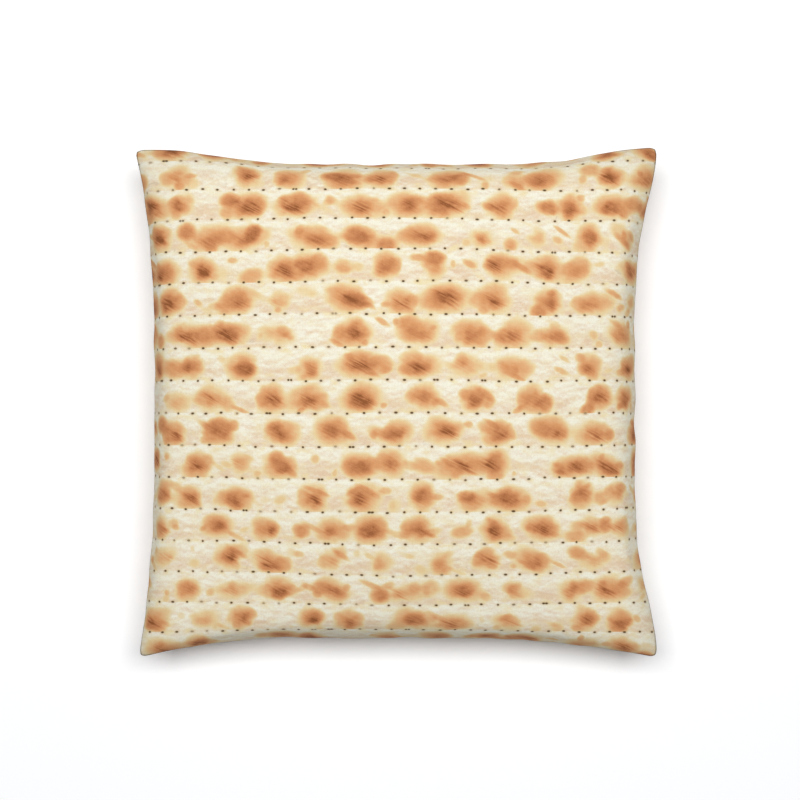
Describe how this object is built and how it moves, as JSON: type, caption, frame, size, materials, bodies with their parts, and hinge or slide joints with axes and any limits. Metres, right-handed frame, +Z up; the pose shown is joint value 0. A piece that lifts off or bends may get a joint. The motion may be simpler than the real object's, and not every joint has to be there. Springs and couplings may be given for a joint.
{
  "type": "throw pillow",
  "caption": "Square knife-edge throw pillow, stuffed full, with a printed cover of toasted flatbread in perforated rows; lies flat, good side up.",
  "frame": {"origin": "middle of the base, on the surface the pillow lies on", "axes": "+Z up through the crown, +X across the width along the rows of the print, +Y towards the print's top edge"},
  "size_m": [0.4474, 0.4374, 0.116],
  "materials": {
    "printed_cover": "matt woven polyester, printed all over"
  },
  "bodies": {
    "root": {"pillow": "printed_cover"}
  },
  "joints": []
}
